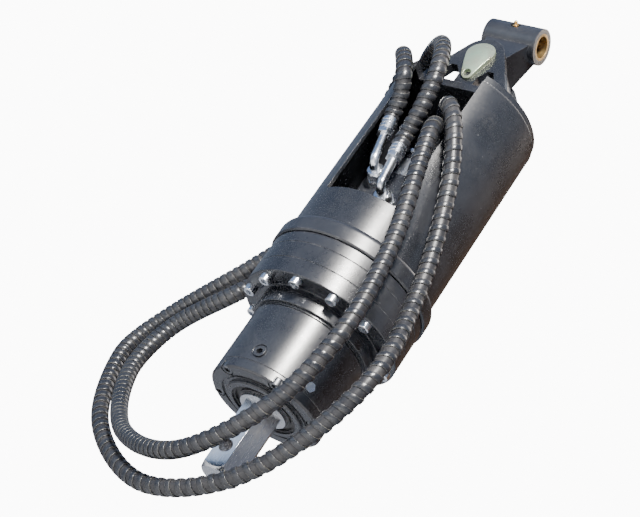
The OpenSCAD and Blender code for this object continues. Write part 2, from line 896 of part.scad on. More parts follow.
module planet_gear(k) {
    color(bare_steel)
    translate([planet_orbit_r * cos(planet_direction(k)), planet_orbit_r * sin(planet_direction(k)), -gear_bottom])
        difference() {
            linear_extrude(height = gear_bottom - gear_top)
                rotate(planet_turn(k))
                    polygon(gear_outline(
                        planet_teeth, planet_pitch_r - 1.25 * tooth_module,
                        planet_pitch_r + 0.95 * tooth_module, tooth_gap
                    ));
            translate([0, 0, -eps]) cylinder(h = gear_bottom - gear_top + 2 * eps, r = planet_pin_r + running);
        }
}

module sun_gear() {
    color(bare_steel)
    translate([0, 0, -gear_bottom])
    difference() {
        linear_extrude(height = gear_bottom - gear_top)
            polygon(gear_outline(
                sun_teeth, sun_pitch_r - 1.25 * tooth_module,
                sun_pitch_r + 0.95 * tooth_module, tooth_gap
            ));
        translate([0, 0, -eps]) cylinder(h = gear_bottom - gear_top + 2 * eps, r = sun_bore_r);
    }
}

// ---------- hydraulic motor ----------

module tie_bolt_holes(top, bottom, r) {
    around(roller_count, tie_bolt_circle) hole(top, bottom, r);
}

module port_hole(port) {
    translate([port[0], 0, port[1]]) {
        along_y(port_r, -port_face - eps, -port_face + 16);
        along_y(6, -port_face + 10, -8);
    }
}

module motor_housing() {
    color(black_paint)
    difference() {
        union() {
            intersection() {
                disc(motor_seat - 14, motor_seat, 70);
                translate([-56, -56, -motor_seat]) cube([112, 112, 14]);
            }
            disc(motor_seat - 1, motor_seat + 5, 41.2);
            disc(399, motor_seat - 13, 40);
            disc(spool_top, 400, motor_r);
            translate([-44, -port_face, -394]) cube([76, port_face, 74]);
        }
        hole(spool_top, 397, spool_r + running);
        hole(398, 424, 23);
        hole(424, motor_seat + 5, 21);
        tie_bolt_holes(spool_top, tie_bolt_tip + 0.5, tie_bolt_r + thread_gap);
        around(4, mount_bolt_circle, 45) hole(motor_seat - 14, motor_seat, mount_bolt_r + clearance_gap);
        port_hole(left_port);
        port_hole(right_port);
    }
}

module wear_plate() {
    color(bare_steel)
    difference() {
        ring(stator_bottom, spool_top, motor_r, 17);
        tie_bolt_holes(stator_bottom, spool_top, tie_bolt_r + clearance_gap);
    }
}

module stator_ring() {
    color(bare_steel)
    difference() {
        ring(stator_top, stator_bottom, motor_r, 31);
        around(roller_count, roller_circle, geroler_turn) hole(stator_top, stator_bottom, roller_r + 0.03);
        tie_bolt_holes(stator_top, stator_bottom, tie_bolt_r + clearance_gap);
    }
}

module stator_rollers() {
    color(zinc)
    around(roller_count, roller_circle, geroler_turn)
        disc(stator_top + 0.1, stator_bottom - 0.1, roller_r);
}

module motor_end_cover() {
    color(black_paint)
    difference() {
        chamfered_ring(end_cover_top, stator_top, motor_r, 0, 3, 0);
        tie_bolt_holes(end_cover_top, stator_top, tie_bolt_r + clearance_gap);
    }
}

module motor_tie_bolts() {
    color(zinc)
    around(roller_count, tie_bolt_circle)
        translate([0, 0, -tie_bolt_tip]) {
            cylinder(h = tie_bolt_tip - end_cover_top, r = tie_bolt_r);
            translate([0, 0, tie_bolt_tip - end_cover_top]) hexagon(11, 5);
        }
}

module motor_mount_bolts() {
    seat = motor_seat - 14;
    color(zinc)
    around(4, mount_bolt_circle, 45)
        translate([0, 0, -seat])
            cap_screw(mount_bolt_r, motor_seat + 20 - seat, 9, 12, 10);
}

module motor_bearing() {
    color(bare_steel) ring(400, 422, 23, 17 + running);
}

module motor_shaft_seal() {
    color(rubber) ring(428, 436, 21, shaft_r + running);
}

module motor_shaft() {
    pocket_bottom = 386;
    color(bare_steel)
    difference() {
        union() {
            disc(spool_top + 3, 396, spool_r);
            disc(395, 424, 17);
            disc(424, gear_top - 4, shaft_r);
            disc(gear_top - 4, gear_bottom + 2, sun_bore_r);
        }
        hole(spool_top + 3, pocket_bottom, link_bore_r);
    }
}

link_low = 365;            // middle of the link's lower end, on the motor axis
link_high = 299;           // middle of its upper end, inside the rotor

// Shaft that leans from the motor axis to the rotor's offset centre, with a crowned end at each joint
module drive_link() {
    lean = atan(rotor_offset / (link_low - link_high));
    span = (link_low - link_high) / cos(lean);
    color(bare_steel)
    rotate([0, 0, geroler_turn])
        translate([0, 0, -link_low])
            rotate([0, lean, 0]) {
                translate([0, 0, -14]) cylinder(h = 28, r = 13.5);
                cylinder(h = span, r = 10);
                translate([0, 0, span - 9]) cylinder(h = 18, r = 12.2);
            }
}

// Six-lobed rotor that rolls inside seven rollers, drawn about its own centre
function rotor_point(a) =
    let (
        n = roller_count,
        reach = roller_r + 0.06,
        lean = atan2(
            sin((1 - n) * a),
            roller_circle / (rotor_offset * n) - cos((1 - n) * a)
        )
    )
    [
        roller_circle * cos(a) - reach * cos(a + lean) - rotor_offset * cos(n * a),
        -roller_circle * sin(a) + reach * sin(a + lean) + rotor_offset * sin(n * a)
    ];

module rotor() {
    lobes = roller_count - 1;
    crowding = 46;         // degrees; draws the outline's points together in its valleys
    color(bare_steel)
    rotate([0, 0, geroler_turn])
    translate([rotor_offset, 0, -stator_bottom + 0.5])
    difference() {
        linear_extrude(height = stator_bottom - stator_top - 1)
            polygon([for (a = [0 : 2 : 358]) rotor_point(a - crowding / lobes * sin(lobes * a))]);
        translate([0, 0, -eps]) cylinder(h = stator_bottom - stator_top, r = rotor_bore_r);
    }
}

// ---------- ports, elbows and couplers ----------

// Places children at a port's face, leaning as its elbow leans
module at_port(port, lean) {
    translate([port[0], -port_face, port[1]]) rotate([0, -lean, 0]) children();
}

module at_both_ports() {
    at_port(left_port, left_elbow_lean) children();
    at_port(right_port, right_elbow_lean) children();
}

adapter_hex = 8;
nose_end = 14;             // how far the adapter's nose stands out of the port face
nut_end = 22;              // how far the swivel nut reaches

module port_adapters() {
    color(zinc)
    at_both_ports()
    difference() {
        union() {
            along_y(port_r - 0.05, 0, 15);
            along_y(26 / 2 / cos(30), -adapter_hex, 0, 6);
            along_y(9, -nose_end, -adapter_hex + eps);
        }
        along_y(5, -nose_end - eps, 15 + eps);
    }
}

module swivel_nuts() {
    color(zinc)
    at_both_ports()
    difference() {
        intersection() {
            along_y(24 / 2 / cos(30), -nut_end, -adapter_hex - 1, 6);
            union() {
                along_y(13.2, -nut_end + 3, -adapter_hex - 1);
                translate([0, -nut_end + 3, 0]) rotate([90, 0, 0]) cylinder(h = 3, r1 = 13.2, r2 = 10.5);
            }
        }
        along_y(9.1, -nose_end - 0.5, -adapter_hex);
        along_y(elbow_tube_r + 0.1, -nut_end - eps, -nose_end + eps);
    }
}

// Straight lead, quarter bend and upright riser of an elbow, as a solid round of radius r
module elbow_path(r, overrun) {
    bend_y = -riser_y + port_face + elbow_bend_r;
    along_y(r, bend_y, -nose_end - 0.6 + overrun);
    translate([0, bend_y, elbow_bend_r])
        rotate([0, -90, 0])
            rotate([0, 0, -90])
                rotate_extrude(angle = -90)
                    translate([elbow_bend_r, 0]) circle(r = r);
    translate([0, -riser_y + port_face, elbow_bend_r])
        cylinder(h = ferrule_start - elbow_bend_r + overrun, r = r);
}

module elbow_tubes() {
    color(zinc)
    at_both_ports()
    difference() {
        elbow_path(elbow_tube_r, 0);
        elbow_path(elbow_tube_r - 1.5, eps);
    }
}

// Crimped collar with its hexagonal shoulder, from z = 0 upwards
module ferrule(length) {
    shoulder_h = 7;
    cylinder(h = length, r = 10);
    hexagon(20, shoulder_h);
    for (z = [shoulder_h + 3 : 6 : length - 5])
        translate([0, 0, z]) cylinder(h = 4, r = 11.2);
}

module hose_ferrules() {
    tail_ferrule = 18;
    hose_gap = 0.1;
    color(zinc) {
        at_both_ports()
            translate([0, -riser_y + port_face, ferrule_start])
                ferrule(hose_start - ferrule_start - hose_gap);
        for (p = coupler_end)
            translate(p) translate([0, 0, -tail_ferrule]) ferrule(tail_ferrule - hose_gap);
    }
}

module hose(route, lean) {
    first = [-sin(lean), 0, cos(lean)];
    last = [0, 0, -1];
    color(rubber) swept_round(smooth_path(route, first, last), hose_r, first, last);
}

module left_hose() {
    hose(left_route, left_elbow_lean);
}

module right_hose() {
    hose(right_route, right_elbow_lean);
}

coupler_top = 18;          // distance of a coupler below its hose end
sleeve_r = 15.5;

// Female half: hexagonal back, barrel and open socket
module female_coupler() {
    color(bare_steel)
    translate(coupler_end[0]) translate([0, 0, -coupler_top])
    difference() {
        union() {
            translate([0, 0, -14]) hexagon(24, 14);
            translate([0, 0, -22]) cylinder(h = 8 + eps, r = 13);
            translate([0, 0, -50]) cylinder(h = 30, r = 12.5);
        }
        translate([0, 0, -50 - eps]) cylinder(h = 24, r = 8.5);
        translate([0, 0, -30]) cylinder(h = 12, r = 4);
    }
}

// Locking sleeve that slides back along the female half
module coupler_sleeve() {
    color(bare_steel)
    translate(coupler_end[0]) translate([0, 0, -coupler_top])
    difference() {
        union() {
            translate([0, 0, -48]) cylinder(h = 16, r = sleeve_r);
            for (z = [-46.5, -42.5, -38.5])
                translate([0, 0, z]) cylinder(h = 2, r = sleeve_r + 0.7);
        }
        translate([0, 0, -48 - eps]) cylinder(h = 16 + 2 * eps, r = 12.5 + running);
    }
}

// Male half: hexagonal back and a stepped nose
module male_coupler() {
    color(bare_steel)
    translate(coupler_end[1]) translate([0, 0, -coupler_top])
    difference() {
        union() {
            translate([0, 0, -14]) hexagon(24, 14);
            translate([0, 0, -30]) cylinder(h = 16 + eps, r = 10);
            translate([0, 0, -36]) cylinder(h = 6 + eps, r1 = 7.8, r2 = 10);
            translate([0, 0, -46]) cylinder(h = 10 + eps, r = 8);
        }
        translate([0, 0, -46 - eps]) cylinder(h = 20, r = 5.5);
    }
}

knuckle();
hitch_bushes();
pivot_bushes();
grease_nipple();
hood_tube();
hood_collar();
hood_top_plate();
hitch_ears();
flag_pin();
pin_washer();
split_pin();
motor_housing();
wear_plate();
stator_ring();
stator_rollers();
motor_end_cover();
motor_tie_bolts();
motor_mount_bolts();
motor_bearing();
motor_shaft_seal();
port_adapters();
elbow_tubes();
swivel_nuts();
hose_ferrules();
left_hose();
right_hose();
female_coupler();
male_coupler();
coupler_sleeve();
adapter_flange();
ring_gear();
output_housing();
drum();
bottom_cover();
flange_screws();
cover_screws();
fill_plug();
drain_plug();
casing_o_rings();
bearing_cups();
output_seal();
output_shaft();
planet_carrier();
planet_pins();
planet_retainers();
bearing_cones();
bearing_rollers();
lock_nut();
planet_gear(0);  // planet_gear_1
planet_gear(1);  // planet_gear_2
planet_gear(2);  // planet_gear_3
motor_shaft();
sun_gear();
drive_link();
rotor();
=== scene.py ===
"""Looks of the earth-drill drive.

Painted casing, zinc fittings, hoses with spiral guards, weld beads, floor, light and camera. Lengths are in metres.
"""

import json
import math

import bmesh
import bpy
import numpy as np
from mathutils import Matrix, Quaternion, Vector


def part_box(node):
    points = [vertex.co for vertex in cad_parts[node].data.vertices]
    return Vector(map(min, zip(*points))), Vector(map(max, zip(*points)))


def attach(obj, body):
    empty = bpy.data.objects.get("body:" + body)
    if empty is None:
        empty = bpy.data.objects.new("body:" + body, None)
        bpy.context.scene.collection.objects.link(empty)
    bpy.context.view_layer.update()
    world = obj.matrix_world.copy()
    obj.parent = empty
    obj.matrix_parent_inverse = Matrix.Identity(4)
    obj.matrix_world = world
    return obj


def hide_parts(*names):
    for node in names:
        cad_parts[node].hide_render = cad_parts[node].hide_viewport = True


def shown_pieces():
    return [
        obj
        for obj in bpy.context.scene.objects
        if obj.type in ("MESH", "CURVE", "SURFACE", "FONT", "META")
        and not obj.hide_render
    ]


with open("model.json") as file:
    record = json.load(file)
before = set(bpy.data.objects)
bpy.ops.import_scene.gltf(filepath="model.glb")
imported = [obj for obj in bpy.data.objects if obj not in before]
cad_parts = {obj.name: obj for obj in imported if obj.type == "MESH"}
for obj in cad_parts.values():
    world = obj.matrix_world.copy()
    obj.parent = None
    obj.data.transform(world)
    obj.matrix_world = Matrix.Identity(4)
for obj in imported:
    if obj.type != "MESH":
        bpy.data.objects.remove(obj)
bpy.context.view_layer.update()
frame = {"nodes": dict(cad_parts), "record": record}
nodes = frame["nodes"]


# ---------- node materials ----------

class Shader:
    """A material under construction: short calls for the nodes this scene uses."""

    def __init__(self, name):
        self.material = bpy.data.materials.new(name)
        self.material.use_nodes = True
        self.tree = self.material.node_tree
        self.tree.nodes.clear()
        self.out = self.tree.nodes.new("ShaderNodeOutputMaterial")
        self.bsdf = self.tree.nodes.new("ShaderNodeBsdfPrincipled")
        self.tree.links.new(self.bsdf.outputs["BSDF"], self.out.inputs["Surface"])
        self.coords = self.tree.nodes.new("ShaderNodeTexCoord").outputs["Object"]

    def put(self, value, socket):
        if isinstance(value, bpy.types.NodeSocket):
            self.tree.links.new(value, socket)
        else:
            if socket.type == "RGBA" and len(value) == 3:
                value = (*value, 1.0)
            socket.default_value = value

    def set(self, **values):
        for key, value in values.items():
            self.put(value, self.bsdf.inputs[key.replace("_", " ")])

    def stretch(self, scale):
        mapping = self.tree.nodes.new("ShaderNodeMapping")
        self.put(self.coords, mapping.inputs["Vector"])
        mapping.inputs["Scale"].default_value = scale
        return mapping.outputs["Vector"]

    def noise(self, scale, detail=4.0, rough=0.55, stretch=None, distortion=0.0):
        node = self.tree.nodes.new("ShaderNodeTexNoise")
        self.put(self.stretch(stretch) if stretch else self.coords, node.inputs["Vector"])
        node.inputs["Scale"].default_value = scale
        node.inputs["Detail"].default_value = detail
        node.inputs["Roughness"].default_value = rough
        node.inputs["Distortion"].default_value = distortion
        return node.outputs["Fac"]

    def ramp(self, value, low, high, from_value=0.0, to_value=1.0):
        node = self.tree.nodes.new("ShaderNodeMapRange")
        node.clamp = True
        self.put(value, node.inputs["Value"])
        for key, number in zip(("From Min", "From Max", "To Min", "To Max"), (low, high, from_value, to_value)):
            node.inputs[key].default_value = number
        return node.outputs["Result"]

    def math(self, operation, a, b=0.0):
        node = self.tree.nodes.new("ShaderNodeMath")
        node.operation = operation
        self.put(a, node.inputs[0])
        self.put(b, node.inputs[1])
        return node.outputs["Value"]

    def mix(self, factor, a, b):
        node = self.tree.nodes.new("ShaderNodeMix")
        node.data_type = "RGBA"
        sockets = [s for s in node.inputs if s.type == "RGBA"]
        self.put(factor, node.inputs[0])
        self.put(a, sockets[0])
        self.put(b, sockets[1])
        return [s for s in node.outputs if s.type == "RGBA"][0]

    def bevel(self, radius):
        node = self.tree.nodes.new("ShaderNodeBevel")
        node.samples = 4
        node.inputs["Radius"].default_value = radius
        return node.outputs["Normal"]

    def edges(self, radius):
        """1 on convex and concave edges, 0 on flat faces."""
        geometry = self.tree.nodes.new("ShaderNodeNewGeometry")
        dot = self.tree.nodes.new("ShaderNodeVectorMath")
        dot.operation = "DOT_PRODUCT"
        self.put(self.bevel(radius), dot.inputs[0])
        self.put(geometry.outputs["Normal"], dot.inputs[1])
        return self.ramp(dot.outputs["Value"], 0.995, 0.90)

    def bump(self, height, strength, distance, normal=None):
        node = self.tree.nodes.new("ShaderNodeBump")
        node.inputs["Strength"].default_value = strength
        node.inputs["Distance"].default_value = distance
        self.put(height, node.inputs["Height"])
        if normal is not None:
            self.put(normal, node.inputs["Normal"])
        return node.outputs["Normal"]


def paint(name, colour, dust_amount, wear_amount, edge_radius=0.0012):
    """Satin black enamel: orange peel, a film of dust, scuffs and bare edges."""
    s = Shader(name)
    blotches = s.noise(9.0, 5.0, 0.6)
    fine = s.noise(240.0, 3.0, 0.6)
    tone = s.mix(s.ramp(blotches, 0.35, 0.7), colour, tuple(c * 1.7 + 0.004 for c in colour))
    dust_mask = s.math("MULTIPLY", s.ramp(s.noise(26.0, 8.0, 0.7), 0.45, 0.78), s.ramp(fine, 0.3, 0.7))
    dust_mask = s.math("MULTIPLY", dust_mask, dust_amount)
    dusty = s.mix(dust_mask, tone, (0.19, 0.175, 0.155))
    rubbed = s.math("MULTIPLY", s.edges(edge_radius), s.ramp(s.noise(70.0, 6.0, 0.7), 0.50, 0.66))
    chips = s.math("GREATER_THAN", s.noise(150.0, 4.0, 0.5), 0.735)
    bare = s.math("MULTIPLY", s.math("MAXIMUM", rubbed, s.math("MULTIPLY", chips, 0.6)), wear_amount)
    rough = s.math("ADD", s.ramp(blotches, 0.3, 0.75, 0.24, 0.34), s.math("MULTIPLY", dust_mask, 0.35))
    rough = s.math("ADD", rough, s.ramp(fine, 0.3, 0.7, -0.02, 0.03))
    s.set(
        Base_Color=s.mix(bare, dusty, (0.34, 0.34, 0.35)),
        Metallic=s.math("MULTIPLY", bare, 0.9),
        Roughness=rough,
        Specular_IOR_Level=0.55,
        Coat_Weight=0.22,
        Coat_Roughness=0.22,
        Normal=s.bump(s.noise(420.0, 2.0, 0.5), 0.10, 0.0004, s.bevel(edge_radius)),
    )
    return s.material


def plated(name, colour, shade, rough_low, rough_high, metallic=1.0, grime=0.35, edge_radius=0.0006):
    """Zinc plate: cloudy tone, dull patches and scattered spots of grime."""
    s = Shader(name)
    clouds = s.noise(38.0, 5.0, 0.6, distortion=0.6)
    spots = s.ramp(s.noise(160.0, 5.0, 0.65), 0.56, 0.72)
    tone = s.mix(s.ramp(clouds, 0.35, 0.68), colour, shade)
    dirt = s.math("MULTIPLY", spots, grime)
    rough = s.math("ADD", s.ramp(clouds, 0.3, 0.7, rough_low, rough_high), s.math("MULTIPLY", dirt, 0.3))
    s.set(
        Base_Color=s.mix(dirt, tone, (0.10, 0.09, 0.075)),
        Metallic=metallic,
        Roughness=rough,
        Normal=s.bump(s.noise(600.0, 2.0, 0.5), 0.06, 0.0003, s.bevel(edge_radius)),
    )
    return s.material


def machined(name, colour, stretch, rough_low=0.22, rough_high=0.38, stain=0.30, tint=(0.30, 0.24, 0.17)):
    """Bare steel: fine tool marks along one direction, oil film and faint stains."""
    s = Shader(name)
    marks = s.noise(1.0, 3.0, 0.6, stretch=stretch)
    clouds = s.noise(30.0, 5.0, 0.65)
    stains = s.math("MULTIPLY", s.ramp(clouds, 0.52, 0.75), stain)
    tone = s.mix(s.ramp(marks, 0.3, 0.7), colour, tuple(c * 0.82 for c in colour))
    s.set(
        Base_Color=s.mix(stains, tone, tint),
        Metallic=1.0,
        Roughness=s.math("ADD", s.ramp(marks, 0.3, 0.7, rough_low, rough_high), s.math("MULTIPLY", stains, 0.4)),
        Normal=s.bump(marks, 0.12, 0.0003, s.bevel(0.0007)),
    )
    return s.material


def soft(name, colour, dust, rough_low, rough_high, grain, grain_depth):
    """Rubber or plastic: matte skin with dust held in its texture."""
    s = Shader(name)
    clouds = s.noise(22.0, 6.0, 0.65)
    fine = s.noise(grain, 3.0, 0.6)
    dust_mask = s.math("MULTIPLY", s.ramp(clouds, 0.42, 0.72), s.ramp(fine, 0.35, 0.75))
    dust_mask = s.math("MULTIPLY", dust_mask, dust)
    s.set(
        Base_Color=s.mix(dust_mask, s.mix(clouds, colour, tuple(c * 1.6 for c in colour)), (0.23, 0.21, 0.18)),
        Roughness=s.math("ADD", s.ramp(clouds, 0.3, 0.7, rough_low, rough_high), s.math("MULTIPLY", dust_mask, 0.3)),
        Specular_IOR_Level=0.5,
        Normal=s.bump(fine, 0.15, grain_depth),
    )
    return s.material


def guard(name, colour, worn, edge_radius):
    """Hard plastic strip, dark and slightly glossy, its corners scuffed pale."""
    s = Shader(name)
    clouds = s.noise(20.0, 5.0, 0.6)
    fine = s.noise(500.0, 3.0, 0.6)
    rub = s.math("MULTIPLY", s.edges(edge_radius), s.ramp(s.noise(60.0, 5.0, 0.6), 0.38, 0.60, 0.10, 0.85))
    dust = s.math("MULTIPLY", s.ramp(clouds, 0.45, 0.75), s.ramp(fine, 0.35, 0.75, 0.0, 0.25))
    tone = s.mix(dust, s.mix(clouds, colour, tuple(c * 1.7 for c in colour)), (0.12, 0.11, 0.09))
    s.set(
        Base_Color=s.mix(rub, tone, worn),
        Roughness=s.math("ADD", s.ramp(clouds, 0.3, 0.7, 0.24, 0.36), s.math("MULTIPLY", rub, 0.2)),
        Specular_IOR_Level=0.6,
        Normal=s.bump(fine, 0.12, 0.0002, s.bevel(0.0004)),
    )
    return s.material


black = (0.010, 0.011, 0.014)
materials = {
    "black_paint": paint("paint_black", black, 0.10, 0.50),
    "bronze_bush": machined("bronze", (0.55, 0.38, 0.17), (60, 60, 900), 0.3, 0.45, 0.5, (0.12, 0.07, 0.03)),
    "nipple_zinc": plated("zinc_orange", (0.85, 0.58, 0.20), (0.70, 0.40, 0.16), 0.22, 0.38),
    "flag_zinc": plated("zinc_pale_green", (0.72, 0.74, 0.52), (0.50, 0.64, 0.46), 0.24, 0.40, 0.85, 0.20, 0.0014),
    "bright_zinc": plated("zinc_bright", (0.80, 0.82, 0.85), (0.62, 0.65, 0.70), 0.18, 0.36),
    "bare_steel": machined("steel_machined", (0.66, 0.67, 0.69), (900, 900, 30)),
    "dark_steel": machined("steel_dark", (0.17, 0.175, 0.185), (300, 300, 300), 0.32, 0.50, 0.4, (0.05, 0.04, 0.03)),
    "hose_guard": guard("guard_black", (0.011, 0.012, 0.015), (0.33, 0.31, 0.25), 0.0008),
    "seal_rubber": soft("rubber_seal", (0.020, 0.020, 0.022), 0.15, 0.45, 0.60, 700.0, 0.0002),
    "hose_rubber": soft("rubber_hose", (0.012, 0.012, 0.014), 0.30, 0.34, 0.50, 900.0, 0.0003),
}

slot_of = {part["node"]: part["material_slot"] for part in frame["record"]["subparts"]}
for name, node in nodes.items():
    node.data.materials.clear()
    node.data.materials.append(materials[slot_of[name]])


# ---------- mesh helpers ----------

def new_piece(name, verts, faces, material, body, smooth_angle=40.0):
    mesh = bpy.data.meshes.new(name)
    mesh.from_pydata([tuple(v) for v in verts], [], faces)
    mesh.validate()
    bm = bmesh.new()
    bm.from_mesh(mesh)
    bmesh.ops.recalc_face_normals(bm, faces=bm.faces)
    limit = math.radians(smooth_angle)
    for edge in bm.edges:
        edge.smooth = len(edge.link_faces) == 2 and edge.calc_face_angle(0.0) < limit
    for face in bm.faces:
        face.smooth = True
    bm.to_mesh(mesh)
    bm.free()
    mesh.materials.append(material)
    obj = bpy.data.objects.new(name, mesh)
    bpy.context.scene.collection.objects.link(obj)
    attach(obj, body)
    return obj


def unit(v):
    return v / np.linalg.norm(v)


SPLINE_STEPS = 12


def resample(points, step):
    """Points along a Catmull-Rom curve through the given points, about one step apart, and their arc lengths."""
    p = np.asarray(points, float)
    padded = np.vstack([2 * p[0] - p[1], p, 2 * p[-1] - p[-2]])
    dense = []
    for i in range(1, len(padded) - 2):
        a, b, c, d = padded[i - 1:i + 3]
        for t in np.linspace(0, 1, SPLINE_STEPS, endpoint=False):
            square, cube = 2 * a - 5 * b + 4 * c - d, 3 * b - a - 3 * c + d
            dense.append(0.5 * (2 * b + (c - a) * t + square * t * t + cube * t ** 3))
    dense.append(p[-1])
    dense = np.array(dense)
    lengths = np.concatenate([[0], np.cumsum(np.linalg.norm(np.diff(dense, axis=0), axis=1))])
    count = max(2, int(round(lengths[-1] / step)) + 1)
    wanted = np.linspace(0, lengths[-1], count)
    return np.column_stack([np.interp(wanted, lengths, dense[:, k]) for k in range(3)]), wanted


def frames_along(points, closed=False):
    """For each point, two unit vectors across the curve that don't twist about it."""
    if closed:
        tangents = np.roll(points, -1, 0) - np.roll(points, 1, 0)
    else:
        tangents = np.gradient(points, axis=0)
    tangents = tangents / np.linalg.norm(tangents, axis=1)[:, None]
    side = np.cross(tangents[0], [0.3, 0.2, 0.93])
    us, vs = [], []
    for t in tangents:
        side = unit(side - t * (side @ t))
        us.append(side)
        vs.append(np.cross(t, side))
    return np.array(us), np.array(vs)


def grid_faces(rows, columns, wrap_rows=False):
    """Quads of a grid whose columns wrap round."""
    faces = []
    for i in range(rows if wrap_rows else rows - 1):
        for k in range(columns):
            a, b = i * columns + k, i * columns + (k + 1) % columns
            c, d = ((i + 1) % rows) * columns + (k + 1) % columns, ((i + 1) % rows) * columns + k
            faces.append((a, b, c, d))
    return faces


def around(us, vs, angles):
    """Unit vectors across a curve, one for each pairing of frame and angle that broadcasting makes."""
    return np.cos(angles)[..., None] * us + np.sin(angles)[..., None] * vs


def round_sweep(points, radii, sides, closed=False):
    """A tube round the curve, capped at its ends unless it is closed."""
    us, vs = frames_along(points, closed)
    angles = np.linspace(0, 2 * math.pi, sides, endpoint=False)
    outward = around(us[:, None, :], vs[:, None, :], angles[None, :])
    verts = (points[:, None, :] + radii[:, None, None] * outward).reshape(-1, 3)
    faces = grid_faces(len(points), sides, closed)
    if not closed:
        faces.append(tuple(range(sides))[::-1])
        faces.append(tuple((len(points) - 1) * sides + k for k in range(sides)))
    return verts, faces


# ---------- hoses ----------

def merged_mesh(node):
    """Vertices of a CAD node with coincident ones merged, and the neighbours of each."""
    bm = bmesh.new()
    bm.from_mesh(nodes[node].data)
    bmesh.ops.remove_doubles(bm, verts=bm.verts, dist=2e-5)
    bm.verts.ensure_lookup_table()
    verts = np.array([v.co for v in bm.verts])
    near = [[e.other_vert(v).index for e in v.link_edges] for v in bm.verts]
    bm.free()
    return verts, near


def hose_line(node, end_point):
    """Centre line of a hose's CAD sweep, from the end nearest end_point to its other end."""
    verts, near = merged_mesh(node)
    distance = np.linalg.norm(verts - np.array(end_point), axis=1)
    ring = set(np.flatnonzero(distance < distance.min() + 2e-4).tolist())
    centre, seen = [], set()
    while ring:
        centre.append(verts[sorted(ring)].mean(0))
        seen |= ring
        ring = {n for v in ring for n in near[v]} - seen
    return np.array(centre)


STRIP_WIDTH = 0.0076
STRIP_ROUND = 0.0004               # radius of the strip's corners
STRIP_CROWN = 0.0003               # rise of its outer face between them
STEPS_PER_TURN = 26


def coil(points, lengths, inner, outer, pitch_at, start, stop):
    """A flat strip with rounded corners, wound round the curve; pitch_at gives its pitch at a distance along it."""
    us, vs = frames_along(points)
    middle, place = [], start + STRIP_WIDTH / 2
    while place < stop - STRIP_WIDTH / 2:
        middle.append(place)
        place += pitch_at(place) / STEPS_PER_TURN
    turn = 2 * math.pi * np.arange(len(middle)) / STEPS_PER_TURN
    half = STRIP_WIDTH / 2
    profile = []
    corners = ((1, outer, 1, 0), (-1, outer, 1, 90), (-1, inner, -1, 180), (1, inner, -1, 270))
    for sign_along, radius, sign_out, first in corners:
        for angle in (first, first + 45, first + 90):
            along = sign_along * (half - STRIP_ROUND) + STRIP_ROUND * math.cos(math.radians(angle))
            out = radius - sign_out * STRIP_ROUND + STRIP_ROUND * math.sin(math.radians(angle))
            if sign_out > 0:
                out -= STRIP_CROWN * (along / half) ** 2
            profile.append((along, out))
    rings = []
    for along, out in profile:
        at = np.array(middle) + along
        centre, u, v = (
            np.array([np.interp(at, lengths, curve[:, k]) for k in range(3)]).T for curve in (points, us, vs)
        )
        rings.append(centre + out * around(u, v, turn))
    verts = np.stack(rings, axis=1).reshape(-1, 3)
    sides = len(profile)
    faces = grid_faces(len(middle), sides)
    faces.append(tuple(range(sides))[::-1])
    faces.append(tuple((len(middle) - 1) * sides + k for k in range(sides)))
    return verts, faces


CORE_R = 0.0108
CORE_SIDES = 24
GUARD_INNER = 0.0107
GUARD_OUTER = 0.0124
GUARD_START, GUARD_STOP = 0.001, 0.010     # bare lengths at the ferrule and at the coupler
HOSE_STEP = 0.0035
TAIL_GAP = 0.018                   # from a coupler's top to its hose end


def hose(node, coupler, over_ferrule, pitches):
    """Rubber hose and the flat strip wound round it, in place of the node's plain sweep.

    The strip starts over_ferrule ahead of the hose. Each of the pitches is a share of the length and the pitch there.
    """
    low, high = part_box(coupler)
    end_point = ((low.x + high.x) / 2, (low.y + high.y) / 2, high.z + TAIL_GAP)
    line = hose_line(node, end_point)[::-1]
    points, lengths = resample(line, HOSE_STEP)
    side = node.split("_")[0]
    verts, faces = round_sweep(points, np.full(len(points), CORE_R), CORE_SIDES)
    new_piece(f"{side}_hose_core", verts, faces, materials["hose_rubber"], "drive")
    if over_ferrule:
        points, lengths = resample(np.vstack([line[0] + over_ferrule * unit(line[0] - line[1]), line]), HOSE_STEP)
    shares, sizes = zip(*pitches)
    verts, faces = coil(
        points, lengths, GUARD_INNER, GUARD_OUTER,
        lambda place: float(np.interp(place / lengths[-1], shares, sizes)), GUARD_START, lengths[-1] - GUARD_STOP,
    )
    strip = new_piece(f"{side}_hose_guard", verts, faces, materials["hose_guard"], "drive", 50.0)
    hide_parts(node)


# The strips bunch up where the hose bends hard and open out on its straight runs
hose("left_hose", "female_coupler", 0.0, (
    (0.00, 0.0125), (0.10, 0.0135), (0.16, 0.0095), (0.26, 0.0110), (0.33, 0.0100), (0.40, 0.0100), (0.47, 0.0150),
    (0.53, 0.0175), (0.90, 0.0165), (1.00, 0.0110),
))
hose("right_hose", "male_coupler", 0.012, (
    (0.00, 0.0120), (0.08, 0.0130), (0.16, 0.0100), (0.30, 0.0110), (0.42, 0.0092), (0.50, 0.0084), (0.60, 0.0086),
    (0.67, 0.0145), (0.72, 0.0170), (0.92, 0.0160), (1.00, 0.0110),
))


# ---------- weld beads ----------

BEAD_STEP = 0.0008
BEAD_SIDES = 10
RIPPLE = 0.0034                    # length of one ripple
WANDER = 0.01                      # distance over which a bead's width drifts


